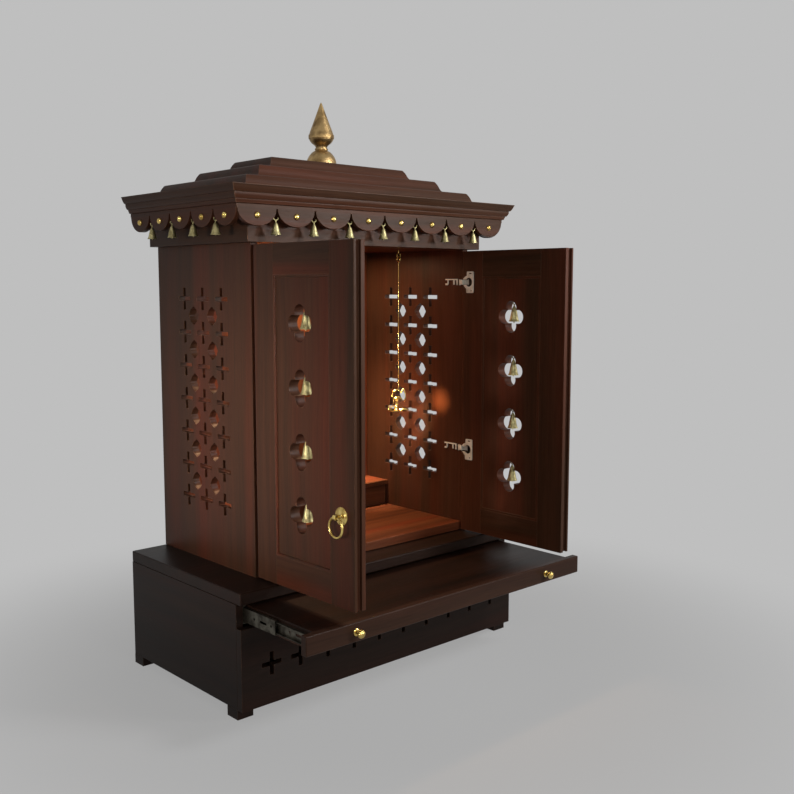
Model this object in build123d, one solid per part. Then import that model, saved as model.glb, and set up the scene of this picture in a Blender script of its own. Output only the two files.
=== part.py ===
from build123d import *
from math import cos, pi, sin
import os

# A household wooden shrine cabinet that stands on the floor. A low plinth with a pull-out tray
# carries a cabinet with pierced sides and two doors, under a stepped roof with a moulded crown,
# a scalloped valance hung with small brass bells, and a turned brass finial.
# Millimetres, +Z up. The doors open towards -Y and the flat back stands at +Y.
# Modelled with the doors open at a right angle and the tray drawn out.

# Cabinet
cabinet_width = 760.0
cabinet_depth = 444.0
cabinet_height = 830.0
side_thickness = 20.0
back_thickness = 18.0

# Plinth
plinth_side_overhang = 104.0
plinth_front_overhang = 87.0
plinth_height = 293.0
plinth_board = 20.0
deck_thickness = 30.0
bottom_thickness = 18.0
foot_size = 45.0
foot_height = 25.0

# Pierced crosses
cross_size = 58.0
cross_bar = 10.0
cross_pitch = 88.0
plinth_cross_margin = 80.0
plinth_cross_height = 102.0
side_cross_margin = 120.0
side_cross_top_margin = 120.0
side_cross_lowest = 164.0
small_foil_size = 40.0
small_foil_lobe_diameter = 23.0

# Doors
door_thickness = 32.0
door_gap = 5.0
hinge_gap = 7.0
door_edge_round = 8.0
door_stile_width = 90.0
door_rail_width = 80.0
door_panel_thickness = 14.0
panel_tongue = 10.0
window_chamfer = 5.0
edge_groove_width = 8.0
edge_groove_depth = 4.0
foil_pitch = 150.0
foil_lowest = 189.0
foil_margin = 60.0
foil_size = 86.0
foil_lobe_diameter = 30.0
foil_centre_diameter = 52.0
foil_sides = 16

# Concealed hinges
hinge_from_bottom = 248.0
hinge_from_top = 94.0
cup_plate_length = 65.0
cup_plate_width = 18.0
cup_plate_shift = 4.0
cup_diameter = 35.0
cup_depth = 12.0
cup_wall = 1.5
cup_setback = 28.0
hinge_plate_thickness = 2.0
arm_length = 58.0
arm_height = 22.0
arm_thickness = 5.0
link_width = 6.0
link_height = 14.0
link_clearance = 1.0
pin_diameter = 5.0
pin_length = 30.0
pin_play = 0.1

# Ring pulls
ring_edge_distance = 45.0
ring_level = 216.0
rose_diameter = 42.0
rose_thickness = 5.0
eye_diameter = 14.0
eye_reach = 17.0
ring_diameter = 46.0
ring_wire = 6.0
ring_clearance = 1.4

# Tray and its telescopic slides
tray_travel = 255.0
tray_front_height = 47.0
tray_front_thickness = 20.0
tray_gap = 6.0
tray_board_thickness = 18.0
tray_side_thickness = 12.0
tray_back_clearance = 30.0
knob_distance = 340.0
knob_diameter = 30.0
knob_reach = 24.0
slide_height = 45.0
middle_slide_height = 35.0
inner_slide_height = 27.0
slide_width = 13.0
slide_sheet = 1.2
slide_running_gap = 0.4
slide_back_clearance = 53.0

# Inside the cabinet
floor_thickness = 25.0
step_height = 79.0
step_depth = 101.0
step_board = 15.0
ceiling_thickness = 20.0

# Header, crown and valance
header_overhang = 24.0
header_board = 24.0
header_height = 86.0
crown_side_overhang = 104.6
crown_front_overhang = 88.4
crown_height = 43.0
crown_width = 45.0
crown_board = 16.0
crown_band_height = 20.0
crown_band_reach = 9.0
crown_quirk_depth = 3.0
crown_quirk_height = 6.0
crown_lip_reach = 8.0
crown_lip_height = 7.0
valance_setback = 26.0
valance_thickness = 14.0
valance_drop = 50.0
valance_strip = 9.0
front_scallops = 8
side_scallops = 5
scallop_slot = 4.0
stud_diameter = 16.0

# Bells
bell_wall = 1.6
bell_wire = 3.0
bell_seat_gap = 0.35
small_sides = 10
ring_sides = 16
valance_bell_diameter = 25.0
valance_bell_height = 30.0
valance_bell_wire = 25.0
door_bell_diameter = 30.0
door_bell_height = 45.0
door_bell_wire = 12.0

# Stepped roof and finial
roof_step = 31.0
roof_lowest_width = 766.0
roof_lowest_depth = 391.0
roof_step_in_x = 76.0
roof_step_in_y = 55.0
roof_centre_from_back = 242.0
roof_foot = 17.0
finial_height = 178.0
finial_radius = 36.0
finial_base_radius = 42.0
finial_neck_radius = 15.0

# Hanging lamp
lamp_width = 64.0
lamp_height = 73.0
lamp_from_side = 110.0
lamp_from_front = 178.0
lamp_drop = 486.0
lamp_wire = 3.0
lamp_ring = 7.0
lamp_hook_shank = 8.0
lamp_link_gap = 0.5

# Places worked out from the sizes above
half_width = cabinet_width / 2
door_width = half_width - door_gap / 2
front_y = (hinge_gap + door_width - cabinet_depth) / 2
back_y = front_y + cabinet_depth
inner_back_y = back_y - back_thickness
inner_half = half_width - side_thickness
deck_top = foot_height + plinth_height
deck_bottom = deck_top - deck_thickness
plinth_half = half_width + plinth_side_overhang
plinth_front = front_y - plinth_front_overhang
plinth_inner_half = plinth_half - plinth_board
header_bottom = deck_top + cabinet_height
crown_bottom = header_bottom + header_height
crown_top = crown_bottom + crown_height
crown_half = half_width + crown_side_overhang
crown_front = front_y - crown_front_overhang
lamp_x = half_width - lamp_from_side
slide_length = inner_back_y - plinth_front - tray_front_thickness - slide_back_clearance


def block(x0, x1, y0, y1, z0, z1):
    """A board between two corners."""
    return Pos((x0 + x1) / 2, (y0 + y1) / 2, (z0 + z1) / 2) * Box(abs(x1 - x0), abs(y1 - y0), abs(z1 - z0))


def both_sides(solid):
    """A piece and its mirror image across the middle plane."""
    return solid, solid.mirror(Plane.YZ)


def group(solids):
    """Like pieces that share a node."""
    return Compound(children=list(solids))


def groups(solids):
    """A group and its mirror image."""
    pairs = [both_sides(solid) for solid in solids]
    return group(pair[0] for pair in pairs), group(pair[1] for pair in pairs)


def mirrored_group(solids):
    """Like pieces of both sides in one node."""
    return group(piece for solid in solids for piece in both_sides(solid))


def cross_sketch():
    return Rectangle(cross_size, cross_bar) + Rectangle(cross_bar, cross_size)


def foil_sketch(size, lobe_diameter, centre_diameter):
    """Four round lobes about a round centre, in flats."""
    offset = (size - lobe_diameter) / 2
    lobe = RegularPolygon(lobe_diameter / 2, foil_sides)
    lobes = [Pos(x, y) * lobe for x, y in ((offset, 0), (-offset, 0), (0, offset), (0, -offset))]
    return RegularPolygon(centre_diameter / 2, 2 * foil_sides) + lobes


def turned(points, sides):
    """A small turned piece made in flats, from pairs of radius and height that climb from its bottom."""
    turns = [2 * pi * i / sides for i in range(sides + 1)]
    rings = [[(r * cos(turn), r * sin(turn), z) for turn in turns] for r, z in points]
    faces = [make_face(Polyline(*rings[0])), make_face(Polyline(*rings[-1]))]
    for low, high in zip(rings, rings[1:]):
        for i in range(sides):
            faces.append(make_face(Polyline(low[i], low[i + 1], high[i + 1], high[i], low[i])))
    return Solid(Shell(faces))


def wire_ring(radius, wire_radius, sides):
    """A ring of wire made in flats about the Z axis, with an eight-sided section."""
    w, flat = wire_radius, wire_radius * 0.4
    rim = [(radius + flat, -w), (radius + w, -flat), (radius + w, flat), (radius + flat, w)]
    hole = [(radius - flat, -w), (radius - w, -flat), (radius - w, flat), (radius - flat, w)]
    return turned(rim, sides) - turned(hole, sides)


parts = {}


# Plinth
def make_plinth():
    back = plinth_inner_half
    for name, side in zip(("plinth_end_right", "plinth_end_left"), both_sides(
            block(plinth_inner_half, plinth_half, plinth_front + plinth_board, back_y, foot_height, deck_bottom))):
        parts[name] = side
    parts["plinth_back"] = block(-back, back, inner_back_y, back_y, foot_height, deck_bottom)
    parts["plinth_bottom"] = block(-back, back, plinth_front + plinth_board, inner_back_y,
                                   foot_height, foot_height + bottom_thickness)
    deck = block(-plinth_half, plinth_half, plinth_front, back_y, deck_bottom, deck_top)
    parts["plinth_deck"] = fillet(deck.edges().filter_by(Axis.X).group_by(Axis.Y)[0], 3)
    top = deck_bottom - tray_gap * 2 - tray_front_height
    panel = block(-plinth_half, plinth_half, plinth_front, plinth_front + plinth_board, foot_height, top)
    level = foot_height + plinth_cross_height
    gaps = int((plinth_half - plinth_cross_margin) * 2 / cross_pitch)
    for i in range(gaps + 1):
        hole = Plane(((i - gaps / 2) * cross_pitch, plinth_front, level), x_dir=(1, 0, 0), z_dir=(0, -1, 0))
        panel -= extrude(hole * cross_sketch(), amount=plinth_board, both=True)
    parts["plinth_front_panel"] = panel
    foot = block(plinth_half - foot_size, plinth_half, plinth_front + plinth_board,
                 plinth_front + plinth_board + foot_size, 0, foot_height)
    rear = foot.moved(Pos(0, back_y - plinth_front - plinth_board - foot_size, 0))
    parts["plinth_feet"] = mirrored_group([foot, rear])


# Cabinet shell
def make_cabinet():
    side = block(inner_half, half_width, front_y, back_y, deck_top, header_bottom)
    middle = front_y + cabinet_depth / 2
    rows = int((cabinet_height - side_cross_lowest - side_cross_top_margin) / cross_pitch) + 1
    columns = int((cabinet_depth - 2 * side_cross_margin) / cross_pitch) + 1
    small_foil = foil_sketch(small_foil_size, small_foil_lobe_diameter, small_foil_lobe_diameter)
    for row in range(rows):
        for column in range(columns):
            y = middle + (column - (columns - 1) / 2) * cross_pitch
            z = deck_top + side_cross_lowest + row * cross_pitch
            place = Plane((half_width, y, z), x_dir=(0, 1, 0), z_dir=(1, 0, 0))
            side -= extrude(place * cross_sketch(), amount=side_thickness * 1.5, both=True)
            if column < columns - 1 and row < rows - 1:
                place = Plane((half_width, y + cross_pitch / 2, z + cross_pitch / 2), x_dir=(0, 1, 0), z_dir=(1, 0, 0))
                side -= extrude(place * small_foil, amount=side_thickness * 1.5, both=True)
    parts["side_panel_right"], parts["side_panel_left"] = both_sides(side)
    parts["back_panel"] = block(-inner_half, inner_half, inner_back_y, back_y, deck_top, header_bottom)
    floor_top = deck_top + floor_thickness
    step_front = inner_back_y - step_depth
    step_top = floor_top + step_height
    riser_front = step_front + step_board
    parts["cabinet_floor"] = block(-inner_half, inner_half, front_y, riser_front, deck_top, floor_top)
    parts["step_riser"] = block(-inner_half, inner_half, riser_front, riser_front + step_board,
                                deck_top, step_top - step_board)
    parts["step_top"] = block(-inner_half, inner_half, step_front, inner_back_y, step_top - step_board, step_top)
    parts["ceiling"] = block(-half_width, half_width, front_y, back_y, header_bottom, header_bottom + ceiling_thickness)


# Header, crown and valance
def mitred_ring(half, front, depth, height_from, height_to):
    """Three boards round the front and both ends, mitred at the front corners."""
    front_piece = block(-half, half, front, front + depth, height_from, height_to)
    front_piece = front_piece & extrude(
        Polygon((-half, front), (half, front), (half - depth, front + depth), (depth - half, front + depth),
                align=None), amount=height_to)
    side = block(half - depth, half, front, back_y, height_from, height_to)
    side -= extrude(Polygon((-half, front), (half, front), (half - depth, front + depth), (depth - half, front + depth),
                            align=None), amount=height_to)
    return front_piece, side


def crown_profile():
    """Section of the crown moulding: x is inwards from its outer edge and y is up from its underside."""
    top = crown_height
    foot = top - crown_band_height
    quirk_x = crown_band_reach + crown_quirk_depth
    quirk_y = foot - crown_quirk_height
    lip_x = valance_setback - crown_lip_reach
    back = Polyline((lip_x, crown_lip_height), (valance_setback, 0), (crown_width, 0), (crown_width, top), (0, top))
    band = ThreePointArc((0, top), (crown_band_reach * 0.22, top - crown_band_height * 0.55), (crown_band_reach, foot))
    quirk = Polyline((crown_band_reach, foot), (quirk_x, foot - crown_quirk_height / 3), (quirk_x, quirk_y))
    middle_x = quirk_x + (lip_x - quirk_x) * 0.2
    lower = ThreePointArc((quirk_x, quirk_y), (middle_x, (quirk_y + crown_lip_height) / 2), (lip_x, crown_lip_height))
    return make_face([back, band, quirk, lower])


def make_head():
    front, side = mitred_ring(half_width + header_overhang, front_y - header_overhang, header_board,
                              header_bottom, crown_bottom)
    parts["header_front"] = front
    parts["header_right"], parts["header_left"] = both_sides(side)

    profile = crown_profile()
    run = Plane((-2 * crown_half, crown_front, crown_bottom), x_dir=(0, 1, 0), z_dir=(1, 0, 0)) * profile
    front = extrude(run, amount=4 * crown_half)
    reach = crown_width + 1
    mitre = Polygon((-crown_half - 1, crown_front - 1), (crown_half + 1, crown_front - 1),
                    (crown_half - reach, crown_front + reach), (reach - crown_half, crown_front + reach), align=None)
    mitre = extrude(mitre, amount=crown_top + 1)
    run = Plane((crown_half, crown_front - 1, crown_bottom), x_dir=(-1, 0, 0), z_dir=(0, 1, 0)) * profile
    side = extrude(run, amount=back_y - crown_front + 1) - mitre
    parts["crown_front"] = front & mitre
    parts["crown_right"], parts["crown_left"] = both_sides(side)
    inner_half_crown = crown_half - crown_width
    inner_front = crown_front + crown_width
    parts["crown_soffit"] = block(-inner_half_crown, inner_half_crown, inner_front, back_y,
                                  crown_bottom, crown_bottom + crown_board)
    parts["crown_board"] = block(-inner_half_crown, inner_half_crown, inner_front, back_y,
                                 crown_top - crown_board, crown_top)


def scallops(length, count):
    """A board hung below its top edge, ending in round scallops parted by narrow slots."""
    pitch = length / count
    board = Pos(0, -valance_strip / 2) * Rectangle(length, valance_strip)
    lobe = Pos(0, -valance_strip) * Ellipse(pitch / 2 - scallop_slot / 2, valance_drop - valance_strip)
    lobe = lobe & Pos(0, -valance_drop / 2 - valance_strip / 2) * Rectangle(pitch, valance_drop)
    for i in range(count):
        board += Pos((i - (count - 1) / 2) * pitch, 0) * lobe
    return board


def make_valance():
    half = crown_half - valance_setback
    front_face = crown_front + valance_setback
    place = Plane((0, front_face, crown_bottom), x_dir=(1, 0, 0), z_dir=(0, -1, 0))
    front = extrude(place * scallops(2 * half, front_scallops), amount=-valance_thickness)
    far = valance_thickness
    mitre = extrude(Polygon((-half - 1, front_face - 1), (half + 1, front_face - 1), (half - far - 1, front_face + far + 1),
                            (far + 1 - half, front_face + far + 1), align=None), amount=crown_bottom + 1)
    length = back_y - front_face
    place = Plane((half, front_face + length / 2, crown_bottom), x_dir=(0, 1, 0), z_dir=(1, 0, 0))
    side = extrude(place * scallops(length, side_scallops), amount=-valance_thickness)
    parts["valance_front"] = front & mitre
    parts["valance_right"], parts["valance_left"] = both_sides(side - mitre)

    stud = stud_solid()
    valance_bell = bell_solid(valance_bell_diameter, valance_bell_height, valance_bell_wire)
    studs = []
    bells = []
    level = crown_bottom - valance_drop / 2
    cusp = crown_bottom - valance_strip
    pitch = 2 * half / front_scallops
    for i in range(front_scallops):
        x = (i - (front_scallops - 1) / 2) * pitch
        studs.append(Plane((x, front_face, level), x_dir=(1, 0, 0), z_dir=(0, -1, 0)) * stud)
        if i:
            bells.append(Pos(x - pitch / 2, front_face + valance_thickness / 2, cusp) * valance_bell)
    pitch = length / side_scallops
    for i in range(side_scallops):
        y = front_face + (i + 0.5) * pitch
        one = Plane((half, y, level), x_dir=(0, 1, 0), z_dir=(1, 0, 0)) * stud
        studs.extend(both_sides(one))
        if i:
            bell = Pos(half - valance_thickness / 2, y - pitch / 2, cusp) * valance_bell
            bells.extend(both_sides(bell))
    parts["valance_studs"] = group(studs)
    parts["valance_bells"] = group(bells)


def stud_solid():
    """A low domed nail head."""
    r = stud_diameter / 2
    return turned([(r, 0), (r * 0.9, r * 0.35), (r * 0.5, r * 0.7), (r * 0.1, r * 0.8)], small_sides)


def bell_solid(diameter, height, wire_length):
    """A small open bell on its wire. The wire's top end is at the origin."""
    r = diameter / 2
    top = -wire_length
    low = top - height
    shell = turned([(r, low), (r * 0.72, top - height * 0.78), (r * 0.46, top - height * 0.2), (r * 0.3, top)],
                   small_sides)
    shell -= turned([(r - bell_wall, low), (r * 0.72 - bell_wall, top - height * 0.74),
                     (bell_wire / 2, top - height * 0.25)], small_sides)
    wire = extrude(Pos(0, 0, top - bell_wall) * RegularPolygon(bell_wire / 2, small_sides), amount=wire_length + bell_wall)
    return shell + wire


# Stepped roof and finial
def make_roof():
    centre_y = back_y - roof_centre_from_back
    level = crown_top
    for i, name in enumerate(("roof_step_lower", "roof_step_middle", "roof_step_upper")):
        width = roof_lowest_width - 2 * roof_step_in_x * i
        depth = roof_lowest_depth - 2 * roof_step_in_y * i
        foot = Pos(0, centre_y, level) * Rectangle(width + 2 * roof_foot, depth + 2 * roof_foot)
        shoulder = Pos(0, centre_y, level + roof_step * 0.45) * Rectangle(width + roof_foot * 0.6, depth + roof_foot * 0.6)
        cap = Pos(0, centre_y, level + roof_step * 0.8) * Rectangle(width, depth)
        lower = loft([foot, shoulder])
        upper = loft([shoulder, cap])
        parts[name] = lower + upper + extrude(cap, amount=roof_step * 0.2)
        level += roof_step
    r, base, neck, h = finial_radius, finial_base_radius, finial_neck_radius, finial_height
    line = Polyline((0, 0), (base, 0), (base, h * 0.02), (base * 0.88, h * 0.1), (base * 0.68, h * 0.16),
                    (neck + 4, h * 0.2), (neck, h * 0.24), (r * 0.8, h * 0.33), (r, h * 0.4), (r * 0.5, h * 0.74),
                    (0, h), close=True)
    parts["finial"] = Pos(0, centre_y, level) * revolve(Plane.XZ * make_face(line), Axis.Z)


def hinge_pivot():
    """Where the right-hand door turns: the middle of its thickness, as far from its hinge edge."""
    return half_width - door_thickness / 2, front_y - hinge_gap - door_thickness / 2


def at_window(edge, window):
    """True for the frame's arrises round its window."""
    box = window.bounding_box()
    centre = edge.center()
    inside_y = box.min.Y - 0.1 < centre.Y < box.max.Y + 0.1
    inside_z = box.min.Z - 0.1 < centre.Z < box.max.Z + 0.1
    on_face = min(abs(centre.X - box.min.X), abs(centre.X - box.max.X)) < 0.1
    return inside_y and inside_z and on_face


# Doors, open at a right angle. Each is made for the right-hand side and mirrored.
def make_doors():
    outer_x = half_width
    inner_x = half_width - door_thickness
    hinge_edge = front_y - hinge_gap
    free_edge = hinge_edge - door_width
    low = deck_top + door_gap
    high = header_bottom - door_gap
    frame = block(inner_x, outer_x, free_edge, hinge_edge, low, high)
    frame = fillet(frame.edges().filter_by(Axis.Z), door_edge_round)
    window = block(inner_x, outer_x, free_edge + door_stile_width, hinge_edge - door_stile_width,
                   low + door_rail_width, high - door_rail_width)
    middle = (inner_x + outer_x) / 2
    panel = block(middle - door_panel_thickness / 2, middle + door_panel_thickness / 2,
                  free_edge + door_stile_width - panel_tongue, hinge_edge - door_stile_width + panel_tongue,
                  low + door_rail_width - panel_tongue, high - door_rail_width + panel_tongue)
    frame -= window
    frame = chamfer(frame.edges().filter_by(lambda e: at_window(e, window)), window_chamfer)
    frame -= panel
    frame -= block(middle - edge_groove_width / 2, middle + edge_groove_width / 2,
                   free_edge, free_edge + edge_groove_depth, low, high)
    foil_y = (free_edge + hinge_edge) / 2
    door_bell = bell_solid(door_bell_diameter, door_bell_height, door_bell_wire)
    bells = []
    foil = foil_sketch(foil_size, foil_lobe_diameter, foil_centre_diameter)
    foil_highest = high - door_rail_width - foil_margin - foil_size / 2
    for i in range(int((foil_highest - deck_top - foil_lowest) / foil_pitch) + 1):
        z = deck_top + foil_lowest + i * foil_pitch
        place = Plane((middle, foil_y, z), x_dir=(0, 1, 0), z_dir=(1, 0, 0))
        panel -= extrude(place * foil, amount=door_thickness, both=True)
        bells.append(Pos(middle, foil_y, z + foil_size / 2 - bell_seat_gap) * door_bell)
    pivot_x, pivot_y = hinge_pivot()
    cups = []
    for height in (hinge_from_bottom, cabinet_height - hinge_from_top):
        z = deck_top + height
        cup_y = hinge_edge - cup_setback
        cup = Pos(inner_x + cup_depth / 2, cup_y, z) * Rot(0, 90, 0) * Cylinder(cup_diameter / 2, cup_depth)
        hollow = Pos(inner_x + cup_depth / 2 - cup_wall, cup_y, z) * Rot(0, 90, 0) * Cylinder(
            cup_diameter / 2 - cup_wall, cup_depth)
        plate_y = cup_y - cup_plate_shift
        plate = block(inner_x - hinge_plate_thickness, inner_x, plate_y - cup_plate_width / 2,
                      plate_y + cup_plate_width / 2, z - cup_plate_length / 2, z + cup_plate_length / 2)
        reach = link_width / 2 + link_clearance
        pocket = block(inner_x - 1, pivot_x + 2 * reach, pivot_y - reach, hinge_edge + 1,
                       z - link_height / 2 - link_clearance, z + link_height / 2 + link_clearance)
        pin_hole = Pos(pivot_x, pivot_y, z) * Cylinder(pin_diameter / 2 + pin_play, pin_length + 2 * link_clearance)
        frame -= cup
        frame -= pocket
        frame -= pin_hole
        cups.append(cup + plate - hollow.moved(Pos(-hinge_plate_thickness, 0, 0)) - hollow - pocket - pin_hole)
    pull_y = free_edge + ring_edge_distance
    pull_z = deck_top + ring_level
    rose_radius = rose_diameter / 2
    rose = Pos(outer_x, pull_y, pull_z) * Rot(0, 90, 0) * turned(
        [(rose_radius, 0), (rose_radius, rose_thickness * 0.4), (rose_radius * 0.7, rose_thickness)], ring_sides)
    eye_x = outer_x + eye_reach
    stem = Pos(outer_x, pull_y, pull_z) * Rot(0, 90, 0) * turned(
        [(eye_diameter * 0.45, 0), (eye_diameter * 0.35, eye_reach - eye_diameter * 0.4)], small_sides)
    eye_width = eye_diameter * 0.7
    across = Pos(eye_x, pull_y + eye_width / 2, pull_z) * Rot(90, 0, 0)
    eye = across * extrude(RegularPolygon(eye_diameter / 2, ring_sides), amount=eye_width)
    bore = Pos(eye_x, pull_y, pull_z) * Rot(90, 0, 0) * Cylinder(ring_wire / 2 + ring_clearance, eye_width * 1.5)
    pull = rose + stem + eye - bore
    ring = Pos(eye_x, pull_y, pull_z - ring_diameter / 2) * Rot(0, 90, 0) * wire_ring(
        ring_diameter / 2, ring_wire / 2, ring_sides)
    pieces = {"frame": frame, "panel": panel, "pull_eye": pull, "pull_ring": ring}
    for name, piece in pieces.items():
        parts["door_right_" + name], parts["door_left_" + name] = both_sides(piece)
    parts["door_right_bells"], parts["door_left_bells"] = groups(bells)
    parts["door_right_hinge_cups"], parts["door_left_hinge_cups"] = groups(cups)
    arms = []
    for height in (hinge_from_bottom, cabinet_height - hinge_from_top):
        z = deck_top + height
        inner = inner_half - arm_thickness
        low_link, high_link = z - link_height / 2, z + link_height / 2
        arm = block(inner, inner_half, front_y, front_y + arm_length, z - arm_height / 2, z + arm_height / 2)
        arm += block(inner, inner_half, front_y - hinge_gap + link_clearance, front_y, low_link, high_link)
        arm += block(inner, pivot_x + link_width / 2, front_y - hinge_gap + link_clearance, front_y - link_clearance,
                     low_link, high_link)
        arm += block(pivot_x - link_width / 2, pivot_x + link_width / 2, pivot_y, front_y - link_clearance,
                     low_link, high_link)
        arm += Pos(pivot_x, pivot_y, z) * Cylinder(link_width / 2, link_height)
        arm += Pos(pivot_x, pivot_y, z) * Cylinder(pin_diameter / 2, pin_length)
        arms.append(arm)
    parts["hinge_arms"] = mirrored_group(arms)


# Tray with its knobs, and the telescopic slides
def channel(half_height, lip_from, lip_to, web_from, lip_thickness):
    """Section of a slide member: x is inwards from the plinth's end panel and y is up from its middle."""
    low, high = min(lip_from, lip_to), max(lip_from, lip_to)
    web = Pos(web_from + slide_sheet / 2, 0) * Rectangle(slide_sheet, 2 * half_height)
    lip = Rectangle(high - low, lip_thickness)
    middle = (low + high) / 2
    return web + Pos(middle, half_height - lip_thickness / 2) * lip + Pos(middle, lip_thickness / 2 - half_height) * lip


def make_tray():
    front_closed = plinth_front
    front = front_closed - tray_travel
    top = deck_bottom - tray_gap
    low = top - tray_front_height
    middle = top - tray_front_height / 2
    parts["tray_front"] = block(-plinth_half, plinth_half, front, front + tray_front_thickness, low, top)
    board_half = plinth_inner_half - slide_width
    board_back = inner_back_y - tray_travel - tray_back_clearance
    parts["tray_board"] = block(-board_half, board_half, front + tray_front_thickness, board_back,
                                top - tray_board_thickness - 1, top - 1)
    side = block(board_half - tray_side_thickness, board_half, front + tray_front_thickness, board_back,
                 middle - slide_height / 2, top - tray_board_thickness - 1)
    parts["tray_runners"] = mirrored_group([side])
    knob = Plane((knob_distance, front, middle), x_dir=(1, 0, 0), z_dir=(0, -1, 0)) * knob_solid()
    parts["tray_knobs"] = mirrored_group([knob])

    closed = front_closed + tray_front_thickness
    outer_half = slide_height / 2
    middle_half = middle_slide_height / 2
    inner_half_height = inner_slide_height / 2
    outer_race = outer_half - middle_half - slide_running_gap
    inner_race = middle_half - inner_half_height - slide_running_gap
    members = {
        "slide_outer": (channel(outer_half, 0, slide_width * 0.7, 0, outer_race), 0),
        "slide_middle": (channel(middle_half, 2 * slide_sheet, slide_width * 0.82, 2 * slide_sheet, inner_race),
                         tray_travel / 2),
        "slide_inner": (channel(inner_half_height, slide_width, slide_sheet * 4, slide_width - slide_sheet, slide_sheet),
                        tray_travel),
    }
    for name, (section, out) in members.items():
        place = Plane((plinth_inner_half, closed - out, middle), x_dir=(-1, 0, 0), z_dir=(0, 1, 0))
        member = extrude(place * section, amount=slide_length)
        parts[name] = mirrored_group([member])


def knob_solid():
    """A turned knob on a round rose, its back at the origin."""
    r, h = knob_diameter / 2, knob_reach
    neck = r * 0.33
    return turned([(r, 0), (r, h * 0.1), (r * 0.6, h * 0.22), (neck, h * 0.28), (neck, h * 0.5), (r * 0.6, h * 0.62),
                   (r * 0.68, h * 0.76), (r * 0.5, h * 0.92), (r * 0.15, h)], ring_sides)


# Brass lamp that hangs from a screw eye in the ceiling
def make_lamp():
    y = front_y + lamp_from_front
    ring_z = header_bottom - lamp_hook_shank - lamp_ring
    wire_radius = lamp_wire / 2
    eye = Pos(lamp_x, y, ring_z) * Rot(90, 0, 0) * wire_ring(lamp_ring, wire_radius, ring_sides)
    shank = Pos(lamp_x, y, header_bottom - lamp_hook_shank) * extrude(
        RegularPolygon(wire_radius, small_sides), amount=lamp_hook_shank)
    parts["lamp_hook"] = eye + shank
    pivot = ring_z - lamp_ring
    loop_z = pivot + lamp_wire + lamp_link_gap - lamp_ring
    loop = Pos(lamp_x, y, loop_z) * Rot(0, 90, 0) * wire_ring(lamp_ring, wire_radius, ring_sides)
    r, h = lamp_width / 2, lamp_height
    bowl = turned([(r * 0.35, 0), (r * 0.75, h * 0.14), (r, h * 0.34), (r, h * 0.36)], ring_sides)
    bowl -= turned([(r * 0.2, h * 0.1), (r * 0.72, h * 0.2), (r * 0.94, h * 0.36)], ring_sides)
    dome = turned([(r * 0.32, h * 0.5), (r * 0.34, h * 0.6), (r * 0.15, h * 0.8), (lamp_wire, h * 0.86)], ring_sides)
    stem = Pos(0, 0, h * 0.05) * extrude(RegularPolygon(lamp_wire, small_sides), amount=h * 0.5)
    rim = header_bottom - lamp_drop
    wire_top = loop_z - lamp_ring
    wire_low = rim + h * 0.8
    wire = Pos(lamp_x, y, wire_low) * extrude(RegularPolygon(wire_radius, small_sides), amount=wire_top - wire_low)
    parts["hanging_lamp"] = Pos(lamp_x, y, rim) * (bowl + dome + stem) + wire + loop


make_plinth()
make_cabinet()
make_head()
make_valance()
make_roof()
make_doors()
make_tray()
make_lamp()

os.makedirs("parts", exist_ok=True)
for name, piece in parts.items():
    piece.label = name
    export_step(piece, os.path.join("parts", name + ".step"))
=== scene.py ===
import bpy
import bmesh
from math import cos, pi, radians, sin, sqrt
from mathutils import Matrix, Vector


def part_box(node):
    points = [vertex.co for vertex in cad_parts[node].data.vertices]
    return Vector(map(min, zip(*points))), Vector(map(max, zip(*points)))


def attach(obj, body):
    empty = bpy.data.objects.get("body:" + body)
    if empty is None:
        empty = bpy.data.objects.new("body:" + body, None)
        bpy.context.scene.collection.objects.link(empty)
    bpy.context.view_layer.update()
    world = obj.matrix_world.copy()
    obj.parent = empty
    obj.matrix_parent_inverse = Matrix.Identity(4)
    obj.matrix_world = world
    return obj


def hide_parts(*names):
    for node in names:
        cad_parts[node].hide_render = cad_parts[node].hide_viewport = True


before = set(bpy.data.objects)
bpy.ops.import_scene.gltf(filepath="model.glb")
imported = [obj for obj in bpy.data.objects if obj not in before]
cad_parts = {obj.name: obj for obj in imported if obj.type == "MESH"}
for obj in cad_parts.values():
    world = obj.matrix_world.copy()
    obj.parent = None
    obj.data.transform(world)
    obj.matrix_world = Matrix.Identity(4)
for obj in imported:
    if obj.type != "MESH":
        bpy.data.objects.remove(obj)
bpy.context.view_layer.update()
scene = bpy.context.scene
scene.view_settings.view_transform = "Standard"


# Studio: a broad pale floor that runs out into an even pale backdrop. Soft lamps stand in front, at
# the left, at the right and high up, and small warm ones light the inside of the cabinet.
def put(name, data):
    """Stands a new object in the scene."""
    thing = bpy.data.objects.new(name, data)
    scene.collection.objects.link(thing)
    return thing


def add(tree, kind, inputs=(), **settings):
    """Adds a shader node with its settings, its values and its joined inputs."""
    node = tree.nodes.new("ShaderNode" + kind)
    for key, value in settings.items():
        setattr(node, key, value)
    for socket, value in dict(inputs).items():
        if isinstance(value, bpy.types.NodeSocket):
            tree.links.new(value, node.inputs[socket])
        else:
            node.inputs[socket].default_value = value
    return node


def tone(red, green, blue):
    """A colour as a paint card gives it, from 0 to 255, as light."""
    parts = [c / 255 for c in (red, green, blue)]
    return tuple(c / 12.92 if c < 0.04045 else ((c + 0.055) / 1.055) ** 2.4 for c in parts) + (1,)


camera = put("camera", bpy.data.cameras.new("camera"))
camera.data.lens = 44.856
camera.location = (-1.7507, -2.03965, 1.0438)
camera.rotation_euler = (radians(83.585), 0, radians(-42.64))
scene.camera = camera


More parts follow.
